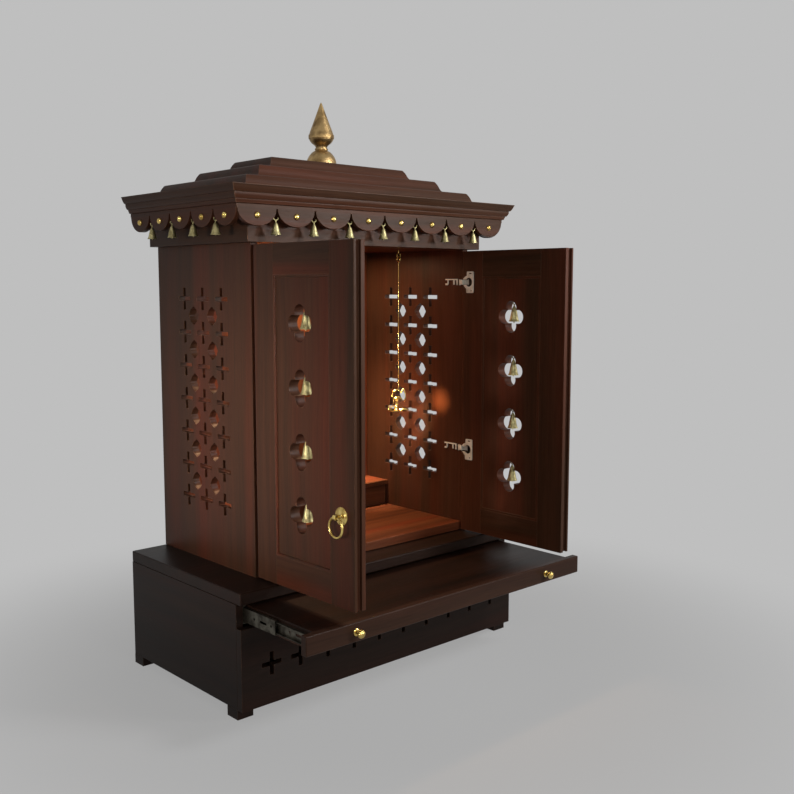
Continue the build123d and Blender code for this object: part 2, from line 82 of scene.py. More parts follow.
def seen_by_eye(tree):
    """1 for a straight, mirrored or refracted look, and 0 for light on its way."""
    ray = add(tree, "LightPath").outputs
    seen = add(tree, "Math", {0: ray["Is Camera Ray"], 1: ray["Is Glossy Ray"]}, operation="MAXIMUM")
    seen = add(tree, "Math", {0: seen.outputs[0], 1: ray["Is Transmission Ray"]}, operation="MAXIMUM")
    return seen.outputs[0]


backdrop = tone(191, 191, 191)
scene.world = bpy.data.worlds.new("studio")
scene.world.use_nodes = True
tree = scene.world.node_tree
tree.nodes.clear()
room = add(tree, "Background", {"Color": tone(244, 242, 240), "Strength": 0.08})
shown = add(tree, "Background", {"Color": backdrop, "Strength": 1})
both = add(tree, "MixShader", {0: seen_by_eye(tree), 1: room.outputs[0], 2: shown.outputs[0]})
add(tree, "OutputWorld", {"Surface": both.outputs[0]})

shape = bmesh.new()
bmesh.ops.create_circle(shape, cap_ends=True, radius=14, segments=96)
floor = put("studio_floor", bpy.data.meshes.new("studio_floor"))
shape.to_mesh(floor.data)
shape.free()
floor_paint = bpy.data.materials.new("studio_floor")
floor_paint.use_nodes = True
tree = floor_paint.node_tree
shader = tree.nodes["Principled BSDF"]
shader.inputs["Base Color"].default_value = tone(205, 205, 205)
shader.inputs["Roughness"].default_value = 1
shader.inputs["Specular IOR Level"].default_value = 0
spot = add(tree, "TexCoord").outputs["Object"]
away = add(tree, "VectorMath", {0: spot}, operation="LENGTH")
fade = add(tree, "MapRange", {"Value": away.outputs["Value"], 1: 0.5, 2: 1.7, 3: 0.6},
           interpolation_type="SMOOTHSTEP")
fade = add(tree, "Math", {0: fade.outputs[0], 1: seen_by_eye(tree)}, operation="MULTIPLY")
far = add(tree, "Emission", {"Color": backdrop, "Strength": 1})
mix = add(tree, "MixShader", {0: fade.outputs[0], 1: shader.outputs[0], 2: far.outputs[0]})
tree.links.new(mix.outputs[0], tree.nodes["Material Output"].inputs["Surface"])
floor.data.materials.append(floor_paint)


def lamp(name, place, aim, width, height, power, spread, colour):
    """A soft rectangular lamp, its light kept within a spread of degrees."""
    light = bpy.data.lights.new(name, "AREA")
    light.shape = "RECTANGLE"
    light.size = width
    light.size_y = height
    light.energy = power
    light.spread = radians(spread)
    light.color = colour[:3]
    stand = put(name, light)
    stand.location = place
    stand.rotation_euler = (Vector(aim) - Vector(place)).to_track_quat("-Z", "Y").to_euler()


lamp("front_softbox", (-0.5, -4.1, 1.3), (0, -0.1, 1.15), 0.55, 0.55, 4, 70, tone(255, 252, 244))
lamp("left_softbox", (-3.6, -0.2, 0.9), (-0.38, 0, 0.7), 0.5, 0.5, 1.6, 20, tone(255, 240, 228))
lamp("near_fill", (-2.4, -3.0, 1.5), (0, 0, 0.8), 1.2, 1.2, 10, 120, tone(255, 252, 246))
lamp("right_softbox", (2.6, -3.6, 1.5), (0, -0.1, 1.2), 0.7, 0.7, 6, 50, tone(255, 253, 250))
lamp("high_softbox", (1.6, -3.0, 3.0), (0, -0.1, 1.0), 0.7, 0.7, 7, 50, tone(250, 252, 255))
lamp("ceiling_light", (0.17, 0.33, 1.13), (0.2, 0.33, 0), 0.2, 0.08, 1.5, 180, tone(255, 205, 155))
lamp("ceiling_spot", (-0.03, 0.335, 1.125), (-0.03, 0.335, 0), 0.1, 0.08, 3.2, 104, tone(255, 208, 160))
lamp("step_spot", (0.27, 0.345, 1.125), (0.3, 0.345, 0.42), 0.05, 0.04, 0.26, 20, tone(255, 216, 176))
lamp("wall_wash", (-0.28, 0.02, 0.88), (0.36, 0.26, 0.7), 0.12, 0.12, 0.28, 36, tone(255, 184, 130))
lamp("lamp_glint", (-0.12, 0.0, 0.95), (0.27, 0.148, 0.69), 0.06, 0.06, 0.14, 18, tone(255, 230, 190))
lamp("flame_glow", (0.14, 0.06, 0.7), (0.36, 0.06, 0.698), 0.02, 0.02, 0.04, 24, tone(255, 190, 120))


# Cabinet sides: two upright boards of dark stained hardwood, sawn through with three columns of
# crosses and small four-lobed holes between them, their edges eased and the whole polished.
def open_group(name, inputs, outputs):
    """Starts a group of shader nodes with named sockets."""
    group = bpy.data.node_groups.new(name, "ShaderNodeTree")
    for socket, kind in inputs:
        group.interface.new_socket(socket, in_out="INPUT", socket_type="NodeSocket" + kind)
    for socket, kind in outputs:
        group.interface.new_socket(socket, in_out="OUTPUT", socket_type="NodeSocket" + kind)
    return group, group.nodes.new("NodeGroupInput").outputs, group.nodes.new("NodeGroupOutput").inputs


def streaks(tree, along, board, stretch, detail, shift, low, high):
    """Noise drawn out along the grain, from 0 to 1."""
    drawn = add(tree, "VectorMath", {0: along, 1: stretch}, operation="MULTIPLY")
    other = add(tree, "Math", {0: board, 1: shift}, operation="ADD")
    noise = add(tree, "TexNoise",
                {"Vector": drawn.outputs[0], "W": other.outputs[0], "Scale": 1, "Detail": detail},
                noise_dimensions="4D")
    spread = add(tree, "MapRange", {"Value": noise.outputs["Fac"], 1: low, 2: high})
    return spread.outputs[0]


def mixed(tree, amount, first, second, blend="MIX"):
    """Two colours mixed by an amount."""
    return add(tree, "Mix", {0: amount, 6: first, 7: second}, data_type="RGBA", blend_type=blend).outputs[2]


hardwood, take, give = open_group(
    "stained_hardwood",
    (("Along", "Vector"), ("Board", "Float"), ("Dark", "Color"), ("Light", "Color"), ("Red", "Color")),
    (("Colour", "Color"), ("Gloss", "Float"), ("Pores", "Float")))
tree = hardwood
number = add(tree, "Math", {0: take["Board"], 1: 41}, operation="MULTIPLY").outputs[0]
slow = add(tree, "VectorMath", {0: take["Along"], 1: (1.7, 2.5, 2.5)}, operation="MULTIPLY")
sway = add(tree, "TexNoise", {"Vector": slow.outputs[0], "W": number, "Scale": 1, "Detail": 1},
           noise_dimensions="4D")
sway = add(tree, "VectorMath", {0: sway.outputs["Color"], "Scale": 0.05}, operation="SCALE")
grain = add(tree, "VectorMath", {0: take["Along"], 1: sway.outputs[0]}, operation="ADD").outputs[0]
bands = streaks(tree, grain, number, (0.7, 26, 26), 2, 0, 0.3, 0.7)
warm = streaks(tree, grain, number, (0.5, 15, 15), 1, 7, 0.44, 0.72)
lines = streaks(tree, grain, number, (3, 190, 190), 3, 3, 0.25, 0.75)
pores = streaks(tree, take["Along"], number, (26, 1100, 1100), 1, 5, 0.3, 0.55)
colour = mixed(tree, bands, take["Dark"], take["Light"])
colour = mixed(tree, warm, colour, take["Red"])
shade = add(tree, "MapRange", {"Value": lines, 3: 0.8, 4: 1.18}).outputs[0]
shade = add(tree, "VectorMath", {0: colour, "Scale": shade}, operation="SCALE").outputs[0]
dots = add(tree, "MapRange", {"Value": pores, 3: 0.8, 4: 1}).outputs[0]
shade = add(tree, "VectorMath", {0: shade, "Scale": dots}, operation="SCALE").outputs[0]
tree.links.new(shade, give["Colour"])
tree.links.new(lines, give["Gloss"])
tree.links.new(pores, give["Pores"])

# Edge mask: pales the arrises, partly as rubbed wear and partly as a painted highlight along the edges.
wear_and_highlight_edges, take, give = open_group("edge_wear_and_highlight", (("Width", "Float"), ("Along", "Vector")),
                                (("Edge", "Float"),))
soft = add(wear_and_highlight_edges, "Bevel", {"Radius": take["Width"]}, samples=6)
true = add(wear_and_highlight_edges, "NewGeometry")
meet = add(wear_and_highlight_edges, "VectorMath", {0: soft.outputs[0], 1: true.outputs["Normal"]}, operation="DOT_PRODUCT")
turned_away = add(wear_and_highlight_edges, "MapRange", {"Value": meet.outputs["Value"], 1: 0.99, 2: 0.8}).outputs[0]
patch = add(wear_and_highlight_edges, "TexNoise", {"Vector": take["Along"], "Scale": 24, "Detail": 2})
patch = add(wear_and_highlight_edges, "MapRange", {"Value": patch.outputs["Fac"], 1: 0.3, 2: 0.6, 3: 0.25}).outputs[0]
edge = add(wear_and_highlight_edges, "Math", {0: turned_away, 1: patch}, operation="MULTIPLY")
wear_and_highlight_edges.links.new(edge.outputs[0], give["Edge"])

grain_turn = {"x": (0, 0, 0), "y": (0, 0, -pi / 2), "z": (0, pi / 2, 0)}


def stained_wood(name, along, dark, light, red, worn):
    """Stained and polished hardwood, its grain along one axis; worn is its paler edge colour, part wear and
    part painted highlight.
    """
    material = bpy.data.materials.new(name)
    material.use_nodes = True
    tree = material.node_tree
    shader = tree.nodes["Principled BSDF"]
    spot = add(tree, "TexCoord").outputs["Object"]
    laid = add(tree, "Mapping", {"Vector": spot, "Rotation": grain_turn[along]}).outputs[0]
    each = add(tree, "ObjectInfo").outputs["Random"]
    wood = add(tree, "Group", {"Along": laid, "Board": each, "Dark": dark, "Light": light, "Red": red},
               node_tree=hardwood)
    # Edges mixed toward the worn colour: partly wear, partly a painted highlight.
    wear_and_highlight_mask = add(tree, "Group", {"Width": 0.0022, "Along": spot}, node_tree=wear_and_highlight_edges)
    part = add(tree, "Math", {0: wear_and_highlight_mask.outputs["Edge"], 1: 0.5}, operation="MULTIPLY").outputs[0]
    colour = mixed(tree, part, wood.outputs["Colour"], worn)
    tree.links.new(colour, shader.inputs["Base Color"])
    dull = add(tree, "MapRange", {"Value": wood.outputs["Gloss"], 3: 0.34, 4: 0.44})
    tree.links.new(dull.outputs[0], shader.inputs["Roughness"])
    bump = add(tree, "Bump", {"Height": wood.outputs["Pores"], "Strength": 0.25, "Distance": 0.0003})
    tree.links.new(bump.outputs[0], shader.inputs["Normal"])
    shader.inputs["Specular IOR Level"].default_value = 0.1
    return material


def corners(node):
    """Lowest and highest corners of a piece of the frame, in millimetres."""
    low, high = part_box(node)
    return low * 1000, high * 1000


def as_mesh(shape):
    """Closes a shape and gives its mesh, in millimetres."""
    bmesh.ops.recalc_face_normals(shape, faces=shape.faces)
    mesh = bpy.data.meshes.new("shape")
    shape.to_mesh(mesh)
    shape.free()
    return mesh


def piece(name, mesh, finish, body, stands_for=(), ease=0.0, sharp=38):
    """Puts a finished piece in the scene on its body, from millimetres to metres."""
    mesh.transform(Matrix.Scale(0.001, 4))
    mesh.materials.clear()
    mesh.materials.append(finish)
    mesh.shade_smooth()
    mesh.set_sharp_from_angle(angle=radians(sharp))
    thing = put(name, mesh)
    mesh.name = name
    if ease:
        eased = thing.modifiers.new("eased_edges", "BEVEL")
        eased.width = ease / 1000
        eased.segments = 2
        eased.limit_method = "ANGLE"
        eased.angle_limit = radians(55)
        eased.use_clamp_overlap = True
    thing.modifiers.new("even_faces", "WEIGHTED_NORMAL").keep_sharp = True
    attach(thing, body)
    if stands_for:
        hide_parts(*stands_for)


def upright(axis, at):
    """The plane of a board that faces along x or y, with its outline's second axis upwards."""
    if axis == "x":
        return Matrix(((0, 0, 1, at), (1, 0, 0, 0), (0, 1, 0, 0), (0, 0, 0, 1)))
    return Matrix(((1, 0, 0, 0), (0, 0, -1, at), (0, 1, 0, 0), (0, 0, 0, 1)))


def sawn(loops, thickness, arris, plane):
    """A board sawn to its first loop, with the other loops as holes, and its edges rounded."""
    outline = bpy.data.curves.new("outline", "CURVE")
    outline.dimensions = "2D"
    outline.fill_mode = "BOTH"
    outline.extrude = thickness / 2 - arris
    outline.bevel_depth = arris
    outline.bevel_resolution = 1
    outline.offset = -arris
    for i, loop in enumerate(loops):
        area = sum(a[0] * b[1] - b[0] * a[1] for a, b in zip(loop, loop[1:] + loop[:1]))
        if (area > 0) != (i == 0):
            loop = loop[::-1]
        line = outline.splines.new("POLY")
        line.points.add(len(loop) - 1)
        line.use_cyclic_u = True
        for point, (x, y) in zip(line.points, loop):
            point.co = (x, y, 0, 1)
    holder = bpy.data.objects.new("outline", outline)
    mesh = bpy.data.meshes.new_from_object(holder)
    bpy.data.objects.remove(holder)
    shape = bmesh.new()
    shape.from_mesh(mesh)
    bmesh.ops.remove_doubles(shape, verts=shape.verts, dist=0.02)
    mesh = as_mesh(shape)
    mesh.transform(plane)
    return mesh


def rectangle(x0, y0, x1, y1):
    """A rectangle between two corners."""
    return [(x0, y0), (x1, y0), (x1, y1), (x0, y1)]


def cross(x, y):
    """A sawn cross, its inner corners a little round from the saw."""
    size, bar, curl = 29, 5.6, 1.6
    corner = [(size, -bar), (size, bar), (bar + curl, bar), (bar + curl * 0.3, bar + curl * 0.3),
              (bar, bar + curl)]
    return [(x + a * cos(t) - b * sin(t), y + a * sin(t) + b * cos(t))
            for t in (0, pi / 2, pi, 3 * pi / 2) for a, b in corner]


def foil(x, y, size, lobe, centre, steps):
    """Four round lobes about a round middle."""
    reach = (size - lobe) / 2
    loop = []
    for i in range(steps):
        turn = 2 * pi * i / steps
        out = centre / 2
        for k in range(4):
            off = turn - k * pi / 2
            inside = (lobe / 2) ** 2 - (reach * sin(off)) ** 2
            if inside >= 0:
                out = max(out, reach * cos(off) + sqrt(inside))
        loop.append((x + out * cos(turn), y + out * sin(turn)))
    return loop


outer_wood = {axis: stained_wood("cabinet_wood_" + axis, axis, tone(60, 41, 29), tone(76, 48, 34),
                                 tone(86, 45, 31), tone(140, 104, 80)) for axis in "xyz"}
side_middle, side_thick = 370, 20
cut_pitch, lowest_cross = 88, 164
for side, name in ((1, "right"), (-1, "left")):
    low, high = corners("side_panel_" + name)
    loops = [rectangle(low.y, low.z, high.y, high.z)]
    for column in range(3):
        for row in range(7):
            across = (low.y + high.y) / 2 + (column - 1) * cut_pitch
            level = low.z + lowest_cross + row * cut_pitch
            loops.append(cross(across, level))
            if column < 2 and row < 6:
                loops.append(foil(across + cut_pitch / 2, level + cut_pitch / 2,
                                  size=47.5, lobe=11.5, centre=42, steps=64))
    mesh = sawn(loops, side_thick, 0.8, upright("x", side * side_middle))
    piece("side_board_" + name, mesh, outer_wood["z"], "cabinet", ["side_panel_" + name])


# Inside of the cabinet: a back board, a thick floor board, a raised step across the back and a
# ceiling board, all of the same hardwood coloured lighter and redder, glued and pinned between the sides.
def board(low, high):
    """A planed board between two corners."""
    shape = bmesh.new()
    bmesh.ops.create_cube(shape, size=1)
    middle = (Vector(low) + Vector(high)) / 2
    size = Vector(high) - Vector(low)
    shape.transform(Matrix.Translation(middle) @ Matrix.Diagonal((*size, 1)))
    return as_mesh(shape)


def dress(finish, *nodes):
    """Gives pieces of the frame a finish."""
    for node in nodes:
        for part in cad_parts[node].material_slots:
            part.material = finish


inner_wood = {axis: stained_wood("inner_wood_" + axis, axis, tone(66, 38, 25), tone(112, 66, 42),
                                 tone(112, 54, 34), tone(190, 124, 78)) for axis in "xz"}
for name, node, along in (("back_board", "back_panel", "z"), ("floor_board", "cabinet_floor", "x"),
                          ("step_board", "step_top", "x"), ("ceiling_board", "ceiling", "x")):
    piece(name, board(*corners(node)), inner_wood[along], "cabinet", [node], ease=1.5)
dress(inner_wood["x"], "step_riser")


# Plinth: two end boards, a deck that closes the box, a low front board sawn through with a row of
# crosses, and four square feet. Its wood is coloured darker than the cabinet's. Pinned and glued.
plinth_wood = {axis: stained_wood("plinth_wood_" + axis, axis, tone(28, 20, 16), tone(40, 27, 21),
                                  tone(42, 25, 19), tone(112, 84, 66)) for axis in "xy"}
piece("plinth_deck_board", board(*corners("plinth_deck")), plinth_wood["x"], "cabinet",
      ["plinth_deck"], ease=3)
for name in ("right", "left"):
    piece("plinth_end_board_" + name, board(*corners("plinth_end_" + name)), plinth_wood["y"], "cabinet",
          ["plinth_end_" + name], ease=1.2)
low, high = corners("plinth_front_panel")
front_thick, cross_level = 20, 127
loops = [rectangle(low.x, low.z, high.x, high.z)]
loops += [cross((i - 4.5) * cut_pitch, cross_level) for i in range(10)]
mesh = sawn(loops, front_thick, 0.8, upright("y", low.y + front_thick / 2))
piece("plinth_front_board", mesh, plinth_wood["x"], "cabinet", ["plinth_front_panel"])
dress(plinth_wood["x"], "plinth_back", "plinth_bottom")
dress(plinth_wood["y"], "plinth_feet")


# Doors: each a frame of two stiles and two rails, tenoned and glued, with a moulded edge round a
# thinner panel that has four large four-lobed openings. The long edges are rounded, and the free
# edge has a groove down its middle. Same hardwood and stain as the cabinet.
def run(section, origin, along, inward, length, mitres=(0, 0), up=(0, 0, 1)):
    """A length of a section, square or mitred at its two ends."""
    shape = bmesh.new()
    ends = []
    for start, mitre in ((True, mitres[0]), (False, mitres[1])):
        ring = []
        for a, u in section:
            t = mitre * a if start else length - mitre * a
            point = Vector(origin) + Vector(inward) * a + Vector(up) * u + Vector(along) * t
            ring.append(shape.verts.new(point))
        ends.append(ring)
    count = len(section)
    for i in range(count):
        j = (i + 1) % count
        shape.faces.new((ends[0][i], ends[0][j], ends[1][j], ends[1][i]))
    shape.faces.new(ends[0])
    shape.faces.new(ends[1])
    return as_mesh(shape)


def arc(x, y, radius, start, end, steps):
    """Points round part of a circle, with angles in degrees."""
    return [(x + radius * cos(radians(start + (end - start) * i / steps)),
             y + radius * sin(radians(start + (end - start) * i / steps))) for i in range(steps + 1)]


def joined(*shapes):
    """Several meshes, each at its place, as one. The meshes themselves stay."""
    whole = bmesh.new()
    for mesh, place in shapes:
        copy = mesh.copy()
        copy.transform(place)
        if place.determinant() < 0:
            copy.flip_normals()
        whole.from_mesh(copy)
        bpy.data.meshes.remove(copy)
    mesh = bpy.data.meshes.new("joined")
    whole.to_mesh(mesh)
    whole.free()
    return mesh


def cut_away(mesh, *cutters):
    """A mesh with the cutters' shapes taken out of it."""
    work = put("work", mesh)
    tools = []
    for cutter in cutters:
        tool = put("tool", cutter)
        step = work.modifiers.new("cut", "BOOLEAN")
        step.object = tool
        step.solver = "EXACT"
        tools.append(tool)
    bpy.context.view_layer.update()
    result = bpy.data.meshes.new_from_object(work.evaluated_get(bpy.context.evaluated_depsgraph_get()))
    for thing in tools + [work]:
        bpy.data.objects.remove(thing)
    return result


def turned(profile, sides=48, closed=False):
    """A turned shape about the z axis, from pairs of radius and height."""
    shape = bmesh.new()
    rings = []
    turns = [2 * pi * i / sides for i in range(sides)]
    for radius, height in profile:
        if radius < 0.001:
            rings.append([shape.verts.new((0, 0, height))])
        else:
            rings.append([shape.verts.new((radius * cos(t), radius * sin(t), height)) for t in turns])
    pairs = list(zip(rings, rings[1:])) + ([(rings[-1], rings[0])] if closed else [])
    for low, high in pairs:
        for i in range(sides if len(low) + len(high) > 2 else 0):
            j = (i + 1) % sides
            if len(low) == 1:
                shape.faces.new((low[0], high[j], high[i]))
            elif len(high) == 1:
                shape.faces.new((low[i], low[j], high[0]))
            else:
                shape.faces.new((low[i], low[j], high[j], high[i]))
    if not closed:
        for ring in (rings[0], rings[-1]):
            if len(ring) > 1:
                shape.faces.new(ring)
    return as_mesh(shape)


def framed(section, y0, z0, y1, z1):
    """A moulding mitred round a window. Its section pairs the distance into the window and x."""
    shape = bmesh.new()
    rings = [[shape.verts.new((x, y, z)) for y, z in
              ((y0 + a, z0 + a), (y1 - a, z0 + a), (y1 - a, z1 - a), (y0 + a, z1 - a))] for a, x in section]
    for near, far in zip(rings, rings[1:] + rings[:1]):
        for i in range(4):
            j = (i + 1) % 4
            shape.faces.new((near[i], near[j], far[j], far[i]))
    return as_mesh(shape)


inner, outer = 348, 380
free_edge, hinge_edge = -414.25, -36.75
door_low, door_high = 323, 1143
strip = 7
stile, rail = 90 - strip, 80 - strip
groove_near, groove_far, groove_deep = 359.5, 373.8, 8
free_section = (arc(inner + 1.5, free_edge + 1.5, 1.5, 180, 270, 3)
                + [(groove_near, free_edge), (groove_near, free_edge + groove_deep)]
                + [(groove_far, free_edge + groove_deep), (groove_far, free_edge)]
                + arc(outer - 1.5, free_edge + 1.5, 1.5, 270, 360, 3)
                + [(outer, free_edge + stile), (inner, free_edge + stile)])
hinge_section = (arc(outer - 8, hinge_edge - 8, 8, 0, 90, 5) + arc(inner + 8, hinge_edge - 8, 8, 90, 180, 5)
                 + [(inner, hinge_edge - stile), (outer, hinge_edge - stile)])
rail_section = [(inner, 0), (outer, 0), (outer, rail), (inner, rail)]
lip_section = ([(0, inner), (strip - 0.9, inner), (strip, inner + 1.2), (strip, outer - 5)]
               + [(strip - 0.6, outer - 4.4)] + arc(2.6, outer - 4, 4, 0, 90, 5) + [(0, outer)])
hinge_levels = (566, 1054)
cup_y = hinge_edge - 28
pivot_x, pivot_y = 364, -52.75
panel_middle, panel_thick = 362.2, 28
foil_lowest, foil_pitch = 508, 150
for side, name in ((1, "right"), (-1, "left")):
    mirror = Matrix.Diagonal((side, 1, 1, 1))
    body = "door_" + name
    up = {"origin": (0, 0, door_low), "along": (0, 0, 1), "inward": (1, 0, 0), "up": (0, 1, 0)}
    free = run(free_section, length=door_high - door_low, **up)
    hung = run(hinge_section, length=door_high - door_low, **up)
    cutters = []
    for level in hinge_levels:
        bore = turned([(17.5, 0), (17.5, 14)], 32)
        bore.transform(Matrix.Translation((inner - 2, cup_y, level)) @ Matrix.Rotation(pi / 2, 4, "Y"))
        cutters.append(bore)
        cutters.append(board((inner - 1, pivot_y - 4, level - 8), (pivot_x + 8, hinge_edge + 1, level + 8)))
        cutters.append(board((pivot_x - 3, pivot_y - 3, level - 16),
                             (pivot_x + 3, pivot_y + 3, level + 16)))
    hung = cut_away(hung, *cutters)
    piece("stile_free_" + name, joined((free, mirror)), outer_wood["z"], body,
          [body + "_frame"], ease=0.8)
    piece("stile_hung_" + name, joined((hung, mirror)), outer_wood["z"], body,
          [body + "_frame"], ease=0.6)
    y0, y1 = free_edge + stile, hinge_edge - stile
    for place, level in (("low", door_low), ("high", door_high - rail)):
        mesh = run(rail_section, (0, y0, level), (0, 1, 0), (1, 0, 0), y1 - y0)
        piece("rail_" + place + "_" + name, joined((mesh, mirror)), outer_wood["y"], body,
              [body + "_frame"], ease=0.6)
    lip = framed(lip_section, y0, door_low + rail, y1, door_high - rail)
    piece("panel_moulding_" + name, joined((lip, mirror)), outer_wood["z"], body,
          [body + "_frame"], sharp=30)
    window = rectangle(y0 + strip - 0.5, door_low + rail + strip - 0.5,
                       y1 - strip + 0.5, door_high - rail - strip + 0.5)
    across = -226.5 if side > 0 else -216.5
    foils = [foil(across, foil_lowest + foil_pitch * i, size=88, lobe=39, centre=40, steps=96)
             for i in range(4)]
    mesh = sawn([window] + foils, panel_thick, 1.0, upright("x", side * panel_middle))
    piece("panel_" + name, mesh, outer_wood["z"], body, [body + "_panel"])


# Concealed hinges: a pressed steel cup sunk in each door's hinge stile under a long screwed flange,
# a jointed link, and a slotted arm screwed to the inside of the cabinet. Nickel-plated steel.
tarnish, take, give = open_group(
    "tarnish", (("Spot", "Vector"), ("Size", "Float"), ("Bright", "Color"), ("Dull", "Color")),
    (("Colour", "Color"), ("Haze", "Float"), ("Scratches", "Float")))
cloud = add(tarnish, "TexNoise", {"Vector": take["Spot"], "Scale": take["Size"], "Detail": 4})
haze = add(tarnish, "MapRange", {"Value": cloud.outputs["Fac"], 1: 0.38, 2: 0.66}).outputs[0]
fine = add(tarnish, "VectorMath", {0: take["Spot"], 1: (60, 60, 2600)}, operation="MULTIPLY")
marks = add(tarnish, "TexNoise", {"Vector": fine.outputs[0], "Scale": 1, "Detail": 2}).outputs["Fac"]
marks = add(tarnish, "MapRange", {"Value": marks, 1: 0.35, 2: 0.65}).outputs[0]
tarnish.links.new(mixed(tarnish, haze, take["Bright"], take["Dull"]), give["Colour"])
tarnish.links.new(haze, give["Haze"])
tarnish.links.new(marks, give["Scratches"])


def metal(name, bright, dull, smooth, rough, size=55.0, lines=0.1, metallic=1.0):
    """Polished metal with soft clouds of tarnish and fine marks."""
    material = bpy.data.materials.new(name)
    material.use_nodes = True
    tree = material.node_tree
    shader = tree.nodes["Principled BSDF"]
    spot = add(tree, "TexCoord").outputs["Object"]
    skin = add(tree, "Group", {"Spot": spot, "Size": size, "Bright": bright, "Dull": dull},
               node_tree=tarnish)
    tree.links.new(skin.outputs["Colour"], shader.inputs["Base Color"])
    worn = add(tree, "MapRange", {"Value": skin.outputs["Haze"], 3: smooth, 4: rough})
    tree.links.new(worn.outputs[0], shader.inputs["Roughness"])
    bump = add(tree, "Bump", {"Height": skin.outputs["Scratches"], "Strength": lines, "Distance": 0.0002})
    tree.links.new(bump.outputs[0], shader.inputs["Normal"])
    shader.inputs["Metallic"].default_value = metallic
    return material


def oval(x, y, wide, high, steps=24):
    """The outline of a round or oval hole."""
    turns = [2 * pi * i / steps for i in range(steps)]
    return [(x + wide / 2 * cos(t), y + high / 2 * sin(t)) for t in turns]


# Nearly matte and near white: nickel's own pale tone, brightened as a painted sheen in place of its
# reflections.
nickel_with_painted_sheen = metal("hinge_nickel_painted_sheen", tone(244, 242, 232), tone(206, 204, 192), 0.3, 0.5, metallic=0.12)
# The cups are coloured near black: painted shade in their sunk hollows.
shaded_cup_steel = metal("hinge_cup_painted_shade", tone(34, 28, 24), tone(20, 16, 14), 0.5, 0.7, metallic=0.5)
flange = (arc(-18, -27.5, 3.3, 180, 270, 4) + arc(4, -27.8, 3, 270, 360, 4)
          + [(7.5, -19), (17.5, -9.5), (17.5, -7.6)] + arc(-2.8, 0, 12.7, -37, -323, 30)
          + [(19, 7.6), (19.5, 10), (14, 15), (5.5, 18.5)] + arc(1.8, 27.8, 3, 0, 90, 4)
          + arc(-18, 27.5, 3.3, 90, 180, 4))
slot, screw = oval(-8, 25, 11, 3.6), oval(-11.7, -24.3, 4.2, 5.4)
bowl_profile = [(0, 11), (11.5, 10.6), (13.8, 8), (14.6, 0), (16.2, 0), (15.6, 9), (12, 11.2), (0, 11.4)]
for side, name in ((1, "right"), (-1, "left")):
    mirror = Matrix.Diagonal((side, 1, 1, 1))
    body = "door_" + name
    plates, bowls = [], []
    for level in hinge_levels:
        plate = sawn([flange, slot, screw], 1.8, 0.5, upright("x", 0))
        plates.append((plate, mirror @ Matrix.Translation((inner - 0.95, cup_y, level))))
        sunk = Matrix.Translation((inner - 0.2, cup_y, level)) @ Matrix.Rotation(pi / 2, 4, "Y")
        bowl = joined((turned(bowl_profile, 40), sunk))
        way_in = board((inner - 1, pivot_y - 4, level - 11), (inner + 24, hinge_edge + 4, level + 11))
        bowls.append((cut_away(bowl, way_in), mirror))
    piece("hinge_plates_" + name, joined(*plates), nickel_with_painted_sheen, body, [body + "_hinge_cups"],
          sharp=35)
    piece("hinge_cups_" + name, joined(*bowls), shaded_cup_steel, body, [body + "_hinge_cups"],
          sharp=35)

arm_outline = [(-12.5, -8), (-8.5, -8), (-8.5, 6.4), (0, 6.4), (0, -7), (4.5, -7), (4.5, 6.4), (25, 6.4),
               (25, -4), (29, -8.4), (36, -8.4), (37, -6), (36, -3.6), (30, -3.2), (28.4, -1), (28.4, 6.4),
               (37, 6.4), (37, 9.8), (-12.5, 9.8)]
nose_outline = [(-37.5, 7.2), (-35, 7.2), (-30, 6), (-26, 8.6), (-23.5, 8.8),
                (-23.5, -8.8), (-26, -8.6), (-30, -6), (-35, -7.2), (-37.5, -7.2)]
link_section = ([(355, -35.75), (361, -35.75), (361, pivot_y)] + arc(pivot_x, pivot_y, 3, 180, 360, 8)
                + [(367, pivot_y), (367, -32.5), (365.2, -30.75), (360, -30.75), (360, -26), (355, -26)])
pin = turned([(2.2, -15), (2.5, -14.5), (2.5, 14.5), (2.2, 15)], 16)
shapes = []
for level in hinge_levels:
    arm = sawn([[(a, level + z) for a, z in arm_outline]], 3.6, 0.6, upright("x", 357.8))
    nose = sawn([[(a, level + z) for a, z in nose_outline]], 7.5, 1.2, upright("x", 355.6))
    link = run(link_section, (0, 0, level - 7), (0, 0, 1), (1, 0, 0), 14, up=(0, 1, 0))
    for side in (1, -1):
        mirror = Matrix.Diagonal((side, 1, 1, 1))
        shapes += [(arm, mirror), (nose, mirror), (link, mirror)]
        shapes.append((pin, mirror @ Matrix.Translation((pivot_x, pivot_y, level))))
piece("hinge_arms_slotted", joined(*shapes), nickel_with_painted_sheen, "cabinet", ["hinge_arms"],
      ease=0.3, sharp=35)


# Ring pulls: a stepped round rose screwed to the door, a stubby eye that stands out of it, and a
# plain cast ring that swings in the eye. Polished brass with a yellow tone.
def hoop(radius, wire, sides=56, round_sides=12):
    """A ring of round wire about the z axis."""
    return turned(arc(radius, 0, wire, 0, 360 * (1 - 1 / round_sides), round_sides - 1), sides, closed=True)


